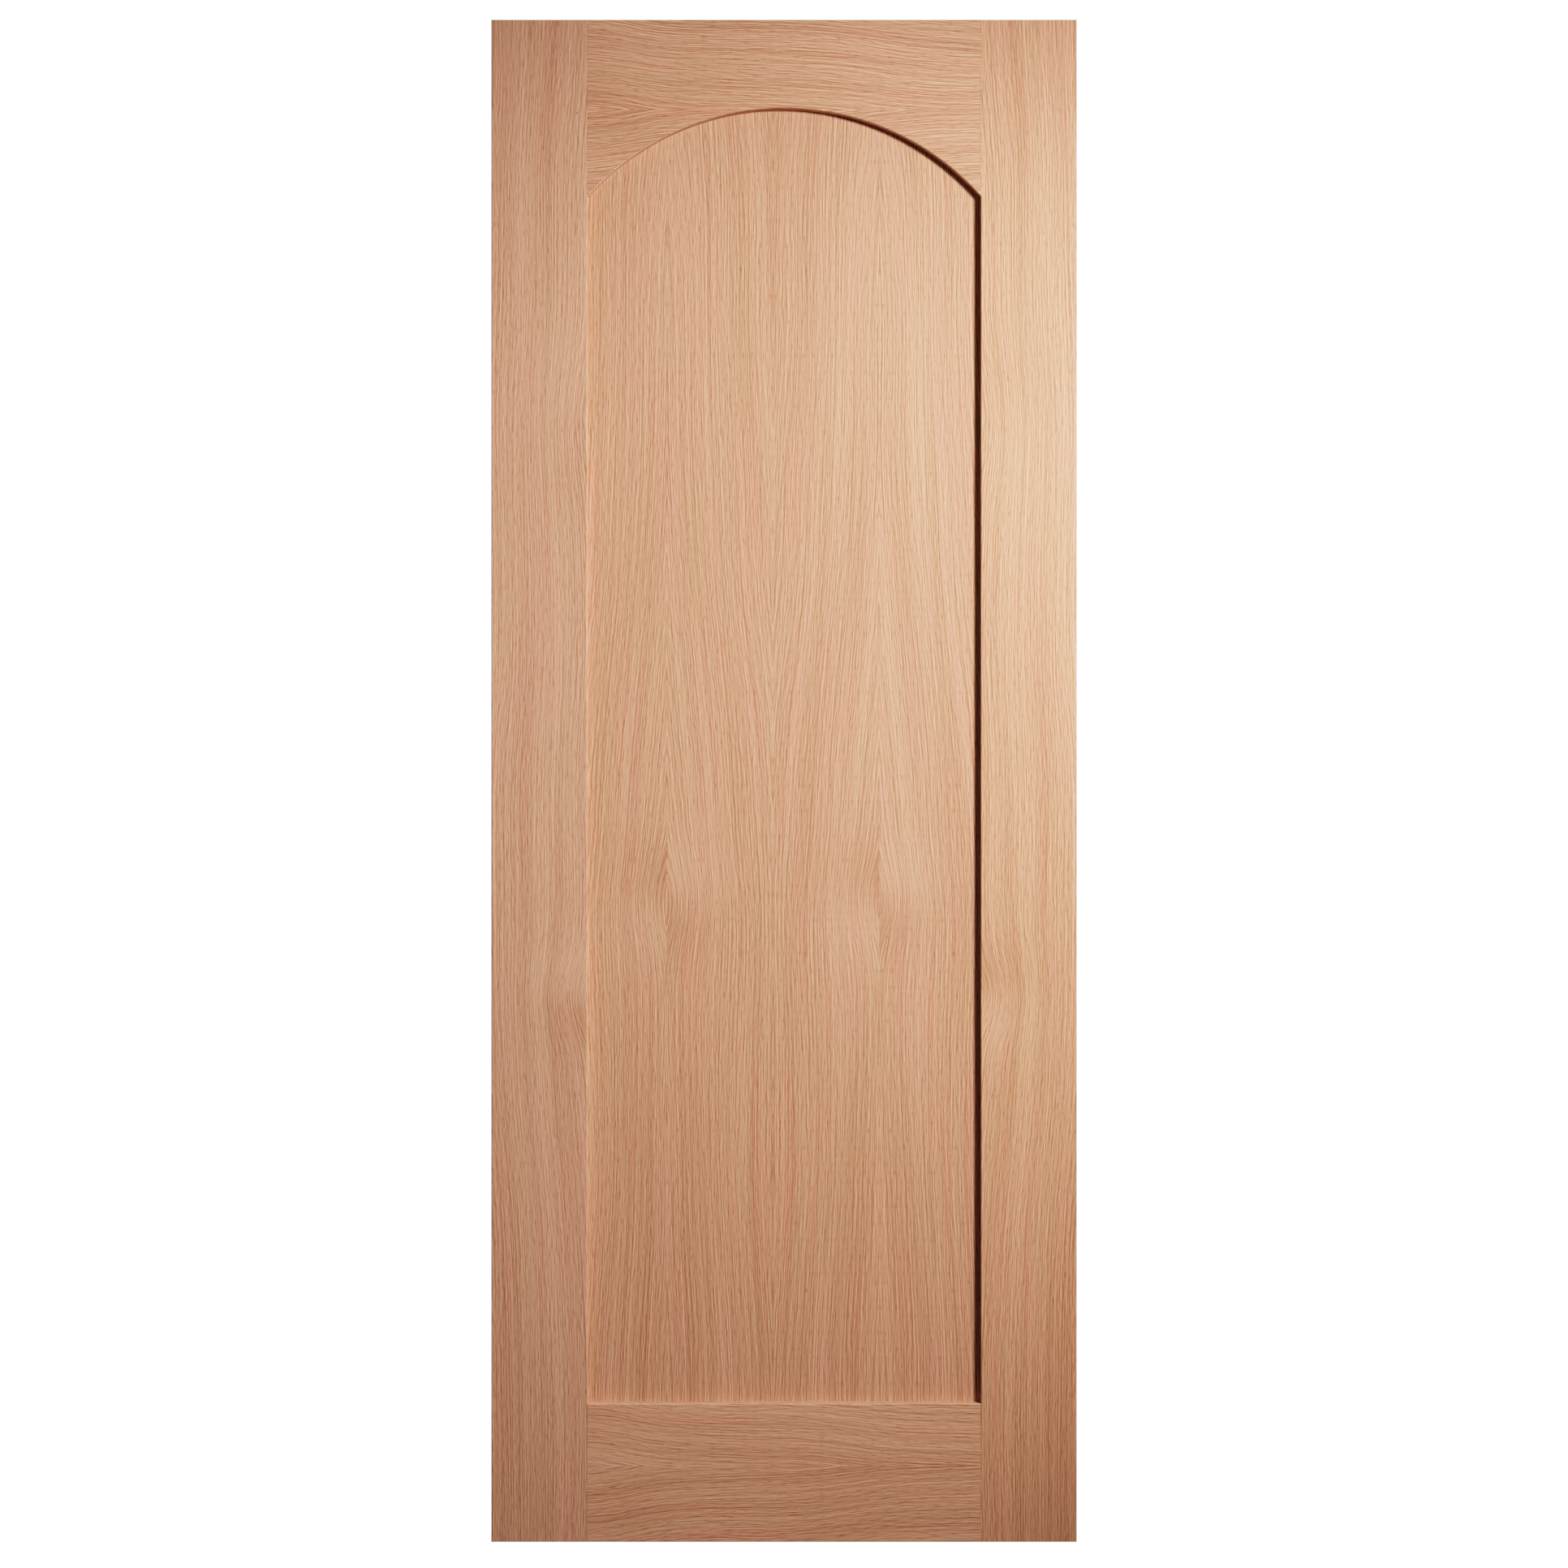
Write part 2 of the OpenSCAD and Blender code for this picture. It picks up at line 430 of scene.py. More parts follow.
@dataclass(frozen=True)
class Figure:
    """The figure in one flitch of crown-cut oak: where its grain drifts, and where it flows round knots.

    Grain that leans over takes the light differently, and this is painted into the colour as sheen: sheen
    says how much brighter the drifts' lean paints it, and knot_sheen how much the knots' does.
    """

    bends: tuple["Drift | KnotFlow", ...]
    sway: Layer
    sheen: float
    ring_strength: float
    knot_sheen: float = 0.0

    def flow(self, recipe: Recipe, sheet: "Sheet") -> tuple[Field, Field]:
        """Straightens the figure, so that lines drawn along the result follow the grain.

        Args:
            recipe: Recipe that the figure is for.
            sheet: Directions on the sheet of veneer.

        Returns:
            The straightened distance across the grain, and the painted sheen: how much brighter its lean is
            painted.
        """
        across = sheet.beside - self.sway.over(recipe, sheet.beside, sheet.along, sheet.slice_of)
        painted_sheen = sheet.along.nought()
        # Painted sheen: leaning grain is painted brighter or darker by its slope, as it would take the key
        # light.
        for bend in self.bends:
            moved, slope = bend.bend(sheet.along, sheet.beside)
            across = across - moved
            painted_sheen = painted_sheen - slope * (self.knot_sheen if isinstance(bend, KnotFlow) else self.sheen)
        return across, painted_sheen * sheet.side


PANEL_FIGURE = Figure(
    bends=(
        Drift(at=1120.0, reach=300.0, shift=-54.0),
        Drift(at=290.0, reach=150.0, shift=-16.0),
        Drift(at=735.0, reach=75.0, shift=7.0),
        Drift(at=1800.0, reach=70.0, shift=-9.0),
        KnotFlow(at=834.0, spread=42.0, push=16.0, peak=25.0, set_back=25.0),
    ),
    sway=Layer(width=95.0, length=330.0, weight=7.0),
    sheen=0.10,
    ring_strength=0.13,
    knot_sheen=0.68,
)
STILE_FIGURE = Figure(
    bends=(
        KnotFlow(at=710.0, spread=38.0, push=22.0, peak=25.0, set_back=25.0),
        KnotFlow(at=1457.0, spread=68.0, push=14.0, peak=32.0, set_back=20.0),
        Drift(at=470.0, reach=135.0, shift=26.0),
        Drift(at=1077.0, reach=75.0, shift=-8.0),
        Drift(at=1870.0, reach=90.0, shift=-13.0),
    ),
    sway=Layer(width=80.0, length=300.0, weight=5.0),
    sheen=-0.05,
    ring_strength=0.11,
    knot_sheen=-0.50,
)
RAIL_FIGURE = Figure(
    bends=(
        Drift(at=-195.0, reach=45.0, shift=-17.0),
        Drift(at=90.0, reach=105.0, shift=-25.0),
    ),
    sway=Layer(width=60.0, length=170.0, weight=4.0),
    sheen=0.30,
    ring_strength=0.17,
)

# How far apart in the noise one leaf of a flitch lies from the next.
LEAF_CHANGE = 0.17


@dataclass(frozen=True)
class Sheet:
    """Directions on one sheet of veneer, in millimetres.

    The leaf is its number in the flitch, and the side is the sign of the distance from its matched edge.
    The joint is one on the glue line at the sheet's ends, where it has one.
    """

    along: Field
    beside: Field
    leaf: "Field | float"
    side: "Field | float"
    joint: Field | None = None
    pin_knots: tuple[PinKnot, ...] = ()

    @property
    def slice_of(self) -> "Field | float":
        """Place in the flitch, which changes little from one leaf to the next."""
        return self.leaf * LEAF_CHANGE


@dataclass(frozen=True)
class VeneerTones:
    """Colours of the bare oak veneer."""

    dark_line: Colour = (0.458, 0.205, 0.111)
    light_line: Colour = (0.856, 0.465, 0.302)
    pore: Colour = (0.52, 0.40, 0.33)
    pink: Colour = (1.045, 0.985, 1.03)
    pin_mark: Colour = (0.30, 0.19, 0.13)

    def cast(self, red: float, blue: float) -> "VeneerTones":
        """Gives the same tones a cast.

        Args:
            red: What the red of both lines is multiplied by.
            blue: What their blue is multiplied by.

        Returns:
            The new tones.
        """
        dark, light = (
            (tone[0] * red, tone[1], tone[2] * blue) for tone in (self.dark_line, self.light_line)
        )
        return replace(self, dark_line=dark, light_line=light)


OAK_TONES = VeneerTones()


@dataclass(frozen=True)
class VeneerFinish:
    """Crown-cut oak veneer, sanded and unfinished: fine lines, growth rings, pores, slow bands and painted
    sheen on leaning grain.
    """

    figure: Figure
    tones: VeneerTones = OAK_TONES
    lift: float = 0.0
    line_layers: tuple[Layer, ...] = (
        Layer(width=1.15, length=21.0, weight=0.39, start=5.3),
        Layer(width=1.15, length=120.0, weight=0.29, start=17.9),
        Layer(width=1.15, length=600.0, weight=0.31, start=23.4),
    )
    line_pitch: float = 3.3
    glue_line_strength: float = 0.30
    bands: tuple[Layer, ...] = (
        Layer(width=23.0, length=700.0, weight=0.15, start=29.1),
        Layer(width=4.6, length=420.0, weight=0.09, start=67.3),
    )
    growth: Layer = Layer(width=7.5, length=900.0, weight=1.0, start=83.6)
    ring_half_width: float = 0.13
    pore_layer: Layer = Layer(width=1.0, length=11.0, weight=1.0, start=41.7)
    pore_edge: Span = (0.22, 0.55)
    pore_depth: float = 0.030
    pore_stain: float = 0.42
    tint_layer: Layer = Layer(width=13.0, length=300.0, weight=1.0, start=53.9)
    tint_edge: Span = (-0.3, 0.5)
    fleck_spacing: Span = (38.0, 55.0)
    fleck_edge: Span = (0.035, 0.015)
    fleck_share: float = 0.16
    line_depth: float = 0.012
    roughness: float = 0.46
    line_gloss: float = 0.05
    pore_roughness: float = 0.10

    def lines(self, recipe: Recipe, across: Field, sheet: Sheet) -> Field:
        """Light and dark lines: streaks of three lengths, less the same streaks half a pitch aside.

        Args:
            recipe: Recipe that the lines are for.
            across: Straightened distance across the grain.
            sheet: Directions on the sheet.

        Returns:
            A signed field, above nought on the light lines.
        """
        total = across.nought()
        for layer in self.line_layers:
            total = total + layer.over(recipe, across, sheet.along, sheet.slice_of)
            beside = across + self.line_pitch * HALF
            total = total - layer.over(recipe, beside, sheet.along, sheet.slice_of)
        return total

    def tone(self, recipe: Recipe, across: Field, lines: Field, painted_sheen: Field, sheet: Sheet) -> Field:
        """How light the wood is, from nought on its darkest line to one on its lightest.

        Args:
            recipe: Recipe that the tone is for.
            across: Straightened distance across the grain.
            lines: Light and dark lines.
            painted_sheen: Painted sheen, how much brighter the lean of the grain is painted.
            sheet: Directions on the sheet.

        Returns:
            The tone, made of lines, slow bands, growth rings, the painted sheen of the lean and the glue
            line.
        """
        # The painted sheen of the leaning grain goes into the tone here.
        tone = lines + painted_sheen + (HALF + self.lift)
        for band in self.bands:
            tone = tone + band.over(recipe, across, sheet.along, sheet.slice_of)
        growth = self.growth.over(recipe, across, sheet.along, sheet.slice_of)
        tone = tone - growth.line(self.ring_half_width) * self.figure.ring_strength
        if sheet.joint is not None:
            tone = tone - sheet.joint * self.glue_line_strength
        return tone

    def dress(self, recipe: Recipe, sheet: Sheet) -> bpy.types.Material:
        """Makes the material from the sheet's own directions.

        Args:
            recipe: Recipe that the directions come from.
            sheet: Directions on the sheet.

        Returns:
            The finished material.
        """
        across, painted_sheen = self.figure.flow(recipe, sheet)
        lines = self.lines(recipe, across, sheet)
        tone = self.tone(recipe, across, lines, painted_sheen, sheet)
        colour = recipe.lay(self.tones.dark_line, self.tones.light_line, tone)
        tint = self.tint_layer.over(recipe, across, sheet.along, sheet.slice_of).step(*self.tint_edge)
        colour = recipe.lay(colour, self.tones.pink, tint, Blend.STAIN)
        pores = self.pore_layer.over(recipe, across, sheet.along, sheet.slice_of).step(*self.pore_edge)
        colour = recipe.lay(colour, self.tones.pore, pores * self.pore_stain, Blend.STAIN)
        colour = recipe.lay(colour, self.tones.pin_mark, self._flecks(recipe, across, sheet))
        for knot in sheet.pin_knots:
            colour = recipe.lay(colour, self.tones.pin_mark, knot.spot(sheet.along, sheet.beside))
        roughness = pores * self.pore_roughness - lines * self.line_gloss + self.roughness
        height = lines * self.line_depth - pores * self.pore_depth
        return recipe.finish(colour, roughness, height, SANDED)

    def _flecks(self, recipe: Recipe, across: Field, sheet: Sheet) -> Field:
        """Pin marks: small dark flecks, in a few of the cells of a scattered net.

        Args:
            recipe: Recipe that the flecks are for.
            across: Straightened distance across the grain.
            sheet: Directions on the sheet.

        Returns:
            One on a fleck and nought elsewhere.
        """
        wide, long = self.fleck_spacing
        distance, chance = recipe.specks(across / wide, sheet.along / long, sheet.leaf)
        return distance.step(*self.fleck_edge) * chance.math("LESS_THAN", self.fleck_share)


@dataclass(frozen=True)
class SolidFinish:
    """Solid wood cut along the grain, with growth rings that show as end grain on a cross cut."""

    name: str
    light: Colour
    dark: Colour
    ring: float
    pith: Span
    surface: Surface
    sway: Layer = Layer(width=40.0, length=300.0, weight=3.0)
    fibre: Layer = Layer(width=0.9, length=22.0, weight=0.40)
    streak: Layer = Layer(width=3.0, length=90.0, weight=0.45)
    pore_layer: Layer = Layer(width=0.5, length=9.0, weight=1.0)
    pore: Colour = (0.60, 0.48, 0.40)
    pore_edge: Span = (0.25, 0.6)
    pore_depth: float = 0.03
    ring_edge: Span = (0.35, 0.95)
    ring_strength: float = 0.42
    darkness: float = 0.25
    roughness: float = 0.46
    tone_roughness: float = 0.10
    fibre_depth: float = 0.025

    def _through(self, recipe: Recipe, layer: Layer, place: tuple[Field, Field, Field]) -> Field:
        """One layer of streaks right through the wood.

        Args:
            recipe: Recipe that the streaks are for.
            layer: Their width, length and weight.
            place: Distances across the grain, through the piece and along the grain.

        Returns:
            A signed field of about the layer's weight.
        """
        wide, deep, along = place
        return recipe.noise(wide / layer.width, deep / layer.width, along / layer.length) * layer.weight

    def dress(self, along_way: Along, arch_height: float) -> bpy.types.Material:
        """Makes the material: rings round a far pith, drawn out along the grain, with fine fibres.

        Args:
            along_way: Which way the grain runs.
            arch_height: Height of the arch's centre, for grain that runs round it.

        Returns:
            The finished material.
        """
        recipe = Recipe(f"{self.name}_{along_way.name.lower()}")
        place = self._grain_place(recipe, along_way, arch_height)
        out = place[0] - self.pith[0]
        over = place[1] - self.pith[1]
        radius = (out * out + over * over).math("SQRT") + self._through(recipe, self.sway, place)
        rings = (radius / self.ring).math("FRACT").step(*self.ring_edge)
        fibre = self._through(recipe, self.fibre, place)
        streaks = self._through(recipe, self.streak, place)
        tone = rings * self.ring_strength + fibre + streaks + self.darkness
        pores = self._through(recipe, self.pore_layer, place).step(*self.pore_edge)
        colour = recipe.lay(self.light, self.dark, tone)
        colour = recipe.lay(colour, self.pore, pores * HALF, Blend.STAIN)
        roughness = tone * self.tone_roughness + self.roughness
        height = fibre * self.fibre_depth - pores * self.pore_depth
        return recipe.finish(colour, roughness, height, self.surface)

    @staticmethod
    def _grain_place(recipe: Recipe, along_way: Along, arch_height: float) -> tuple[Field, Field, Field]:
        """Place in the wood: across the grain, through the piece and along the grain.

        Args:
            recipe: Recipe that the place is for.
            along_way: Which way the grain runs.
            arch_height: Height of the arch's centre.

        Returns:
            The three distances; round an arch they are its radius, its depth and the length of its arc.
        """
        x, y, z = recipe.place()
        if along_way is Along.UP:
            return x, y, z
        if along_way is Along.ACROSS:
            return z, y, x
        rise = z - arch_height
        radius = (x * x + rise * rise).math("SQRT")
        return radius, y, x.math("ARCTAN2", rise) * radius


OAK = SolidFinish(
    name="oak_lipping",
    light=(0.71, 0.45, 0.325),
    dark=(0.48, 0.265, 0.168),
    ring=3.1,
    pith=(-90.0, 70.0),
    surface=SANDED,
)
SOFTWOOD = SolidFinish(
    name="core_softwood",
    light=(0.74, 0.53, 0.34),
    dark=(0.55, 0.34, 0.18),
    ring=3.4,
    pith=(-40.0, 55.0),
    surface=SAWN,
)
BEECH = SolidFinish(
    name="dowel_beech",
    light=(0.66, 0.46, 0.31),
    dark=(0.52, 0.33, 0.20),
    ring=2.2,
    pith=(-60.0, 40.0),
    surface=SAWN,
)


@dataclass(frozen=True)
class FibreboardFinish:
    """Sawn edge of fibreboard: pale brown, with fine fibres in every direction."""

    name: str = "panel_fibreboard"
    light: Colour = (0.46, 0.32, 0.19)
    dark: Colour = (0.30, 0.19, 0.10)
    fibre_width: float = 0.7
    fibre_thickness: float = 0.35
    cloud_width: float = 25.0
    cloud_thickness: float = 6.0
    fibre_weight: float = 0.6
    cloud_weight: float = 0.3
    fine_layers: float = 2.0
    roughness: float = 0.72
    fibre_roughness: float = 0.08
    relief: float = 0.04

    def dress(self) -> bpy.types.Material:
        """Makes the material: flat fibres under a millimetre wide over slow cloudy patches.

        Returns:
            The finished material.
        """
        recipe = Recipe(self.name)
        x, y, z = recipe.place()
        wide, thick = self.fibre_width, self.fibre_thickness
        fibres = recipe.noise(x / wide, y / thick, z / wide, octaves=self.fine_layers)
        clouds = recipe.noise(x / self.cloud_width, y / self.cloud_thickness, z / self.cloud_width)
        tone = fibres * self.fibre_weight + clouds * self.cloud_weight + HALF
        colour = recipe.lay(self.light, self.dark, tone)
        roughness = fibres * self.fibre_roughness + self.roughness
        return recipe.finish(colour, roughness, fibres * self.relief, SAWN)


class Timber:
    """The solid woods of the leaf, each finish made once and shared by its pieces."""

    def __init__(self, arch_height: float) -> None:
        """Starts with no finishes made.

        Args:
            arch_height: Height of the arch's centre.
        """
        self.arch_height = arch_height
        self._made: dict[tuple[str, Along], bpy.types.Material] = {}

    def cut(self, wood: SolidFinish, along: Along) -> bpy.types.Material:
        """Gives the material of one wood with its grain one way.

        Args:
            wood: The wood's finish.
            along: Which way its grain runs.

        Returns:
            The material, made the first time it is asked for.
        """
        key = (wood.name, along)
        if key not in self._made:
            self._made[key] = wood.dress(along, self.arch_height)
        return self._made[key]


@dataclass(frozen=True)
class LeafSizes:
    """Sizes of the leaf, in millimetres, that its finishes are laid out by."""

    height: float
    opening_half: float
    crown_depth: float = 115.0
    arch_rise: float = 115.0

    @classmethod
    def measured(cls) -> "LeafSizes":
        """Reads the leaf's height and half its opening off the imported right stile.

        Returns:
            The sizes.
        """
        low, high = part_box("right_stile_inner_lipping")
        return cls(height=high.z * MM_PER_M, opening_half=low.x * MM_PER_M)

    @property
    def arch_height(self) -> float:
        """Works out the height of the arch's centre, which lies a radius below the crown.

        Returns:
            The height. The radius is half the opening squared plus the rise squared, over twice the rise.
        """
        radius = (self.opening_half**2 + self.arch_rise**2) / (2.0 * self.arch_rise)
        return self.height - self.crown_depth - radius


@dataclass(frozen=True)
class Member:
    """One member of the leaf, faced with veneer on both sides."""

    leaf: LeafSizes

    def turned(self, height: Field, face: Face) -> Field:
        """Turns a back sheet end for end, so that its figure isn't the front's."""
        return height if face is Face.FRONT else height.short_of(self.leaf.height)

    def materials(self, timber: Timber) -> dict[str, bpy.types.Material]:
        """Says which material each of the member's nodes takes.

        Args:
            timber: The solid woods.

        Returns:
            The material of each node.
        """
        raise NotImplementedError

    def dress(self, timber: Timber) -> None:
        """Puts the member's materials on its nodes and reports each piece.

        Args:
            timber: The solid woods.
        """
        for name, material in self.materials(timber).items():
            for slot in bpy.data.objects[name].material_slots:
                slot.material = material
            LOG.info("%s: %s", name, material.name)


@dataclass(frozen=True)
class Stile(Member):
    """One upright: a softwood core, a lipping on each edge and a sheet of veneer on each face."""

    name: str
    side: Side
    tones: VeneerTones = OAK_TONES
    lift: float = 0.0
    pin_knots: tuple[PinKnot, ...] = ()
    front_leaf: float = 11.0
    back_leaf: float = 80.0

    def veneer(self, face: Face) -> bpy.types.Material:
        """Makes one face's veneer, measured out from the opening, so that the stiles are a matched pair.

        Args:
            face: Which face of the leaf it lies on.

        Returns:
            The finished material.
        """
        recipe = Recipe(f"oak_veneer_{self.name}_{face.value}")
        x, _, z = recipe.place()
        first = self.front_leaf if face is Face.FRONT else self.back_leaf
        sheet = Sheet(
            along=self.turned(z, face),
            beside=x * self.side.value - self.leaf.opening_half,
            leaf=first + self.side.value * HALF,
            side=self.side.value,
            pin_knots=self.pin_knots if face is Face.FRONT else (),
        )
        return VeneerFinish(STILE_FIGURE, self.tones, self.lift).dress(recipe, sheet)

    def materials(self, timber: Timber) -> dict[str, bpy.types.Material]:
        """Says which material each of the stile's nodes takes.

        Args:
            timber: The solid woods.

        Returns:
            The material of each node.
        """
        return {
            f"{self.name}_core": timber.cut(SOFTWOOD, Along.UP),
            f"{self.name}_outer_lipping": timber.cut(OAK, Along.UP),
            f"{self.name}_inner_lipping": timber.cut(OAK, Along.UP),
            f"{self.name}_front_veneer": self.veneer(Face.FRONT),
            f"{self.name}_back_veneer": self.veneer(Face.BACK),
        }


@dataclass(frozen=True)
class Rail(Member):
    """One crosswise member: a softwood core, two lippings, and leaves of veneer matched along a seam."""

    name: str
    seam: float
    lift: float = 0.0
    opening_lipping: str = "inner_lipping"
    opening_grain: Along = Along.ACROSS
    front_leaf: float = 31.0
    back_leaf: float = 95.0
    leaf_per_height: float = 0.1
    glue_line: float = 0.45

    def veneer(self, face: Face) -> bpy.types.Material:
        """Makes one face's veneer, measured up and down from the seam.

        Args:
            face: Which face of the leaf it lies on.

        Returns:
            The finished material.
        """
        recipe = Recipe(f"oak_veneer_{self.name}_{face.value}")
        x, _, z = recipe.place()
        first = self.front_leaf if face is Face.FRONT else self.back_leaf
        side = (z - self.seam).math("SIGN")
        sheet = Sheet(
            along=x if face is Face.FRONT else x * -1.0,
            beside=z.apart(self.seam),
            leaf=side * HALF + (self.seam * self.leaf_per_height + first),
            side=side,
            joint=(x.math("ABSOLUTE") - self.leaf.opening_half).line(self.glue_line),
        )
        return VeneerFinish(RAIL_FIGURE, lift=self.lift).dress(recipe, sheet)

    def materials(self, timber: Timber) -> dict[str, bpy.types.Material]:
        """Says which material each of the rail's nodes takes.

        Args:
            timber: The solid woods.

        Returns:
            The material of each node.
        """
        return {
            f"{self.name}_core": timber.cut(SOFTWOOD, Along.ACROSS),
            f"{self.name}_outer_lipping": timber.cut(OAK, Along.ACROSS),
            f"{self.name}_{self.opening_lipping}": timber.cut(OAK, self.opening_grain),
            f"{self.name}_front_veneer": self.veneer(Face.FRONT),
            f"{self.name}_back_veneer": self.veneer(Face.BACK),
        }


@dataclass(frozen=True)
class Panel(Member):
    """The recessed panel: fibreboard faced with leaves of veneer opened like the pages of a book."""

    name: str = "panel"
    seam: float = -153.1
    leaf_width: float = 138.75
    back_leaf: float = 60.0

    def veneer(self, face: Face) -> bpy.types.Material:
        """Makes one face's veneer: each leaf is the mirror of the next, folded at the seams.

        Args:
            face: Which face of the leaf it lies on.

        Returns:
            The finished material.
        """
        recipe = Recipe(f"oak_veneer_{self.name}_{face.value}")
        x, _, z = recipe.place()
        out = x - self.seam
        leaf = (out / self.leaf_width).math("FLOOR")
        sheet = Sheet(
            along=self.turned(z, face),
            beside=out.math("PINGPONG", self.leaf_width),
            leaf=leaf if face is Face.FRONT else leaf + self.back_leaf,
            side=leaf.alternating(),
        )
        return VeneerFinish(PANEL_FIGURE).dress(recipe, sheet)

    def materials(self, timber: Timber) -> dict[str, bpy.types.Material]:
        """Says which material each of the panel's nodes takes.

        Args:
            timber: The solid woods; not used, as the panel has none.

        Returns:
            The material of each node.
        """
        return {
            f"{self.name}_core": FibreboardFinish().dress(),
            f"{self.name}_front_veneer": self.veneer(Face.FRONT),
            f"{self.name}_back_veneer": self.veneer(Face.BACK),
        }


@dataclass(frozen=True)
class Dowels(Member):
    """The beech dowels that pin one end of a rail to its stile."""

    joint: str
    count: int = 3

    def materials(self, timber: Timber) -> dict[str, bpy.types.Material]:
        """Says which material each dowel takes.

        Args:
            timber: The solid woods.

        Returns:
            The material of each node.
        """
        beech = timber.cut(BEECH, Along.ACROSS)
        return {f"{self.joint}_dowel_{number}": beech for number in range(1, self.count + 1)}


def stand_lamp(lamp: bpy.types.Object, place: Place, target: Place) -> None:
    """Puts a lamp in place and turns it to its target.

    Args:
        lamp: The lamp's object.
        place: Where it stands.
        target: What it points at.
    """
    lamp.location = place
    lamp.rotation_euler = (Vector(target) - Vector(place)).to_track_quat("-Z", "Y").to_euler()
    bpy.context.scene.collection.objects.link(lamp)


@dataclass(frozen=True)
class SoftLamp:
    """A square soft lamp: where it stands, what it points at, its side in metres and its power in watts."""

    name: str
    place: Place
    target: Place
    size: float
    power: float

    def build(self) -> None:
        """Adds the lamp."""
        light = bpy.data.lights.new(self.name, "AREA")
        light.shape = "SQUARE"
        light.size = self.size
        light.energy = self.power
        stand_lamp(bpy.data.objects.new(self.name, light), self.place, self.target)


@dataclass(frozen=True)
class Studio:
    """Plain soft light on a plain pale floor."""

    key_place: Place = (1.54, -1.74, 2.0)
    key_aim: Place = (0.03, 0.0, 1.045)
    key_power: float = 446.0
    key_radius: float = 0.30
    key_cone: float = 67.6
    soft_lamps: tuple[SoftLamp, ...] = (
        SoftLamp("fill", place=(-0.4, -4.6, 1.5), target=(0.0, 0.0, 1.0), size=3.4, power=17.0),
        SoftLamp("back_left", place=(2.3, 2.6, 2.0), target=(0.0, 0.0, 1.0), size=1.4, power=150.0),
        SoftLamp("back_right", place=(-2.4, 2.4, 1.3), target=(0.0, 0.0, 1.0), size=1.6, power=70.0),
        SoftLamp("top", place=(0.0, 1.3, 3.6), target=(0.0, 0.1, 1.9), size=1.2, power=50.0),
    )
    white: float = 2.05
    floor_size: float = 60.0

    def build(self) -> None:
        """Places the lamps, the floor and the white surround."""
        self._key()
        for lamp in self.soft_lamps:
            lamp.build()
        self._floor()
        self._surround()

    def _key(self) -> None:
        """Adds the main lamp: a soft round source that fades towards the edge of its beam."""
        light = bpy.data.lights.new("key", "SPOT")
        light.energy = self.key_power
        light.shadow_soft_size = self.key_radius
        light.spot_size = math.radians(self.key_cone)
        light.spot_blend = 1.0
        stand_lamp(bpy.data.objects.new("key", light), self.key_place, self.key_aim)

    def _white(self) -> bpy.types.Material:
        """Makes the even white of the floor.

        Returns:
            The floor's material.
        """
        material = bpy.data.materials.new("floor_white")
        material.use_nodes = True
        tree = material.node_tree
        tree.nodes.clear()
        glow = tree.nodes.new("ShaderNodeEmission")
        glow.inputs["Strength"].default_value = self.white
        output = tree.nodes.new("ShaderNodeOutputMaterial")
        tree.links.new(glow.outputs[0], output.inputs["Surface"])
        return material

    def _floor(self) -> None:
        """Lays the floor under the leaf, seen by the camera but throwing no light on the leaf."""
        half = self.floor_size * HALF
        corners = [(-half, -half, 0.0), (half, -half, 0.0), (half, half, 0.0), (-half, half, 0.0)]
        mesh = bpy.data.meshes.new("floor")
        mesh.from_pydata(corners, [], [(0, 1, 2, 3)])
        mesh.materials.append(self._white())
        floor = bpy.data.objects.new("floor", mesh)
        bpy.context.scene.collection.objects.link(floor)
        floor.visible_diffuse = False
        floor.visible_glossy = False
        floor.visible_shadow = False

    def _surround(self) -> None:
        """Surrounds the scene with white that only the camera sees."""
        world = bpy.data.worlds.new("surround")
        world.use_nodes = True
        back = world.node_tree.nodes["Background"]
        back.inputs["Color"].default_value = (1.0, 1.0, 1.0, 1.0)
        back.inputs["Strength"].default_value = self.white
        world.cycles_visibility.diffuse = False
        world.cycles_visibility.glossy = False
        world.cycles_visibility.transmission = False
        world.cycles_visibility.scatter = False
        bpy.context.scene.world = world


@dataclass(frozen=True)
class Viewpoint:
    """Camera straight in front of the leaf, level, at half its height."""

    distance: float = 2.9175
    height: float = 0.98635
    lens: float = 51.18
    sensor: float = 36.0

    def build(self) -> None:
        """Places the camera and makes it the scene's own."""
        camera = bpy.data.cameras.new("camera")
        camera.lens = self.lens
        camera.sensor_width = self.sensor
        stand = bpy.data.objects.new("camera", camera)
        stand.location = (0.0, -self.distance, self.height)
        stand.rotation_euler = (LEVEL, 0.0, 0.0)
        bpy.context.scene.collection.objects.link(stand)
        bpy.context.scene.camera = stand


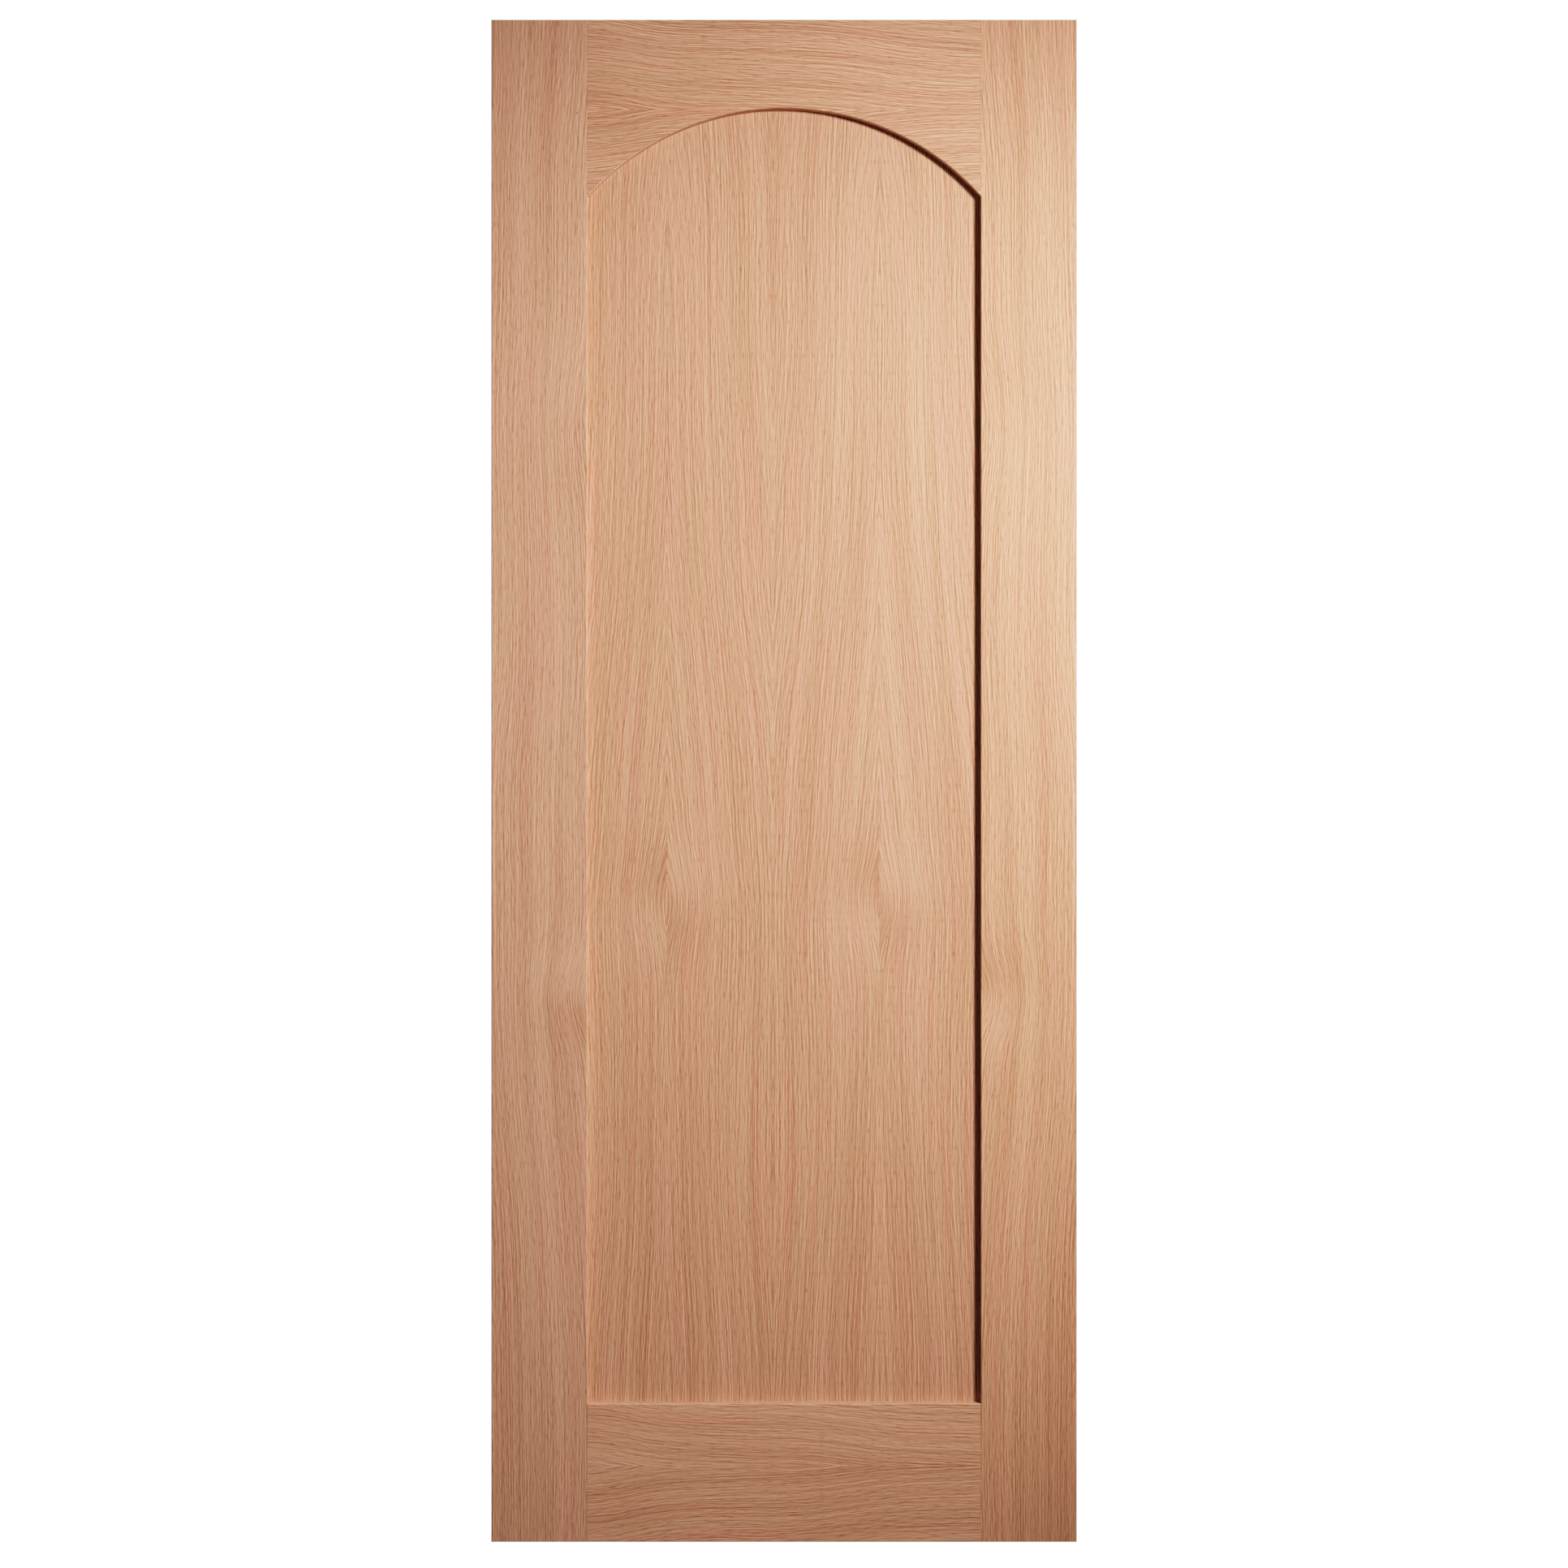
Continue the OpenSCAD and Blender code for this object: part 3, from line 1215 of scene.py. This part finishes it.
@dataclass(frozen=True)
class FilmCurve:
    """Soft contrast of the picture: dark tones deepen and bright ones level off, up to paper white."""

    ceiling: float = 1.05
    steepness: float = 1.5
    middle: float = 0.555
    brightest: float = 2.0
    steps: int = 14
    crowding: int = 2

    def tone(self, light: float) -> float:
        """Shown brightness: the ceiling times the light's power, over that power plus the middle's.

        Args:
            light: Brightness in the scene.

        Returns:
            Brightness in the picture.
        """
        power = light**self.steepness
        return self.ceiling * power / (power + self.middle**self.steepness)

    def apply(self) -> None:
        """Sets the curve, with its points closer together in the dark tones."""
        view = bpy.context.scene.view_settings
        view.view_transform = "Standard"
        view.look = "None"
        view.use_curve_mapping = True
        mapping = view.curve_mapping
        mapping.white_level = (self.brightest, self.brightest, self.brightest)
        mapping.extend = "EXTRAPOLATED"
        curve = mapping.curves[COMBINED_CURVE]
        for step in range(1, self.steps):
            share = (step / self.steps) ** self.crowding
            curve.points.new(share, self.tone(share * self.brightest))
        last = curve.points[len(curve.points) - 1]
        last.location = (1.0, 1.0)
        mapping.update()


def members(leaf: LeafSizes) -> list[Member]:
    """Lists the leaf's members in the order they are dressed.

    Args:
        leaf: Sizes of the leaf.

    Returns:
        The stiles, the rails, the panel and the dowels.
    """
    dowels = [Dowels(leaf, f"{rail}_{side}") for rail in ("bottom", "top") for side in ("left", "right")]
    return [
        # Painted light: the left stile's cooler cast stands in for the cooler light away from the key, and
        # the right stile's warmer cast for the key's side. The lifts make the left stile brighter and the
        # right one a little darker.
        Stile(
            leaf,
            "left_stile",
            Side.LEFT,
            OAK_TONES.cast(red=0.985, blue=1.03),
            lift=0.08,
            pin_knots=(PinKnot(at=195.6, beside=2.0),),
        ),
        Stile(leaf, "right_stile", Side.RIGHT, OAK_TONES.cast(red=1.015, blue=0.975), lift=-0.02),
        Rail(
            leaf,
            "top_rail",
            seam=1863.6,
            lift=-0.02,
            opening_lipping="arch_lipping",
            opening_grain=Along.ARCH,
        ),
        Rail(leaf, "bottom_rail", seam=99.6, lift=0.14),
        Panel(leaf),
        *dowels,
    ]


def main() -> None:
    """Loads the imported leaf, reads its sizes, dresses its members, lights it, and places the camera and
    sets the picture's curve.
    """
    logging.basicConfig(level=logging.INFO, format="%(message)s")
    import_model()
    leaf = LeafSizes.measured()
    timber = Timber(leaf.arch_height)
    for member in members(leaf):
        member.dress(timber)
    Studio().build()
    Viewpoint().build()
    FilmCurve().apply()


if __name__ == "__main__":
    main()
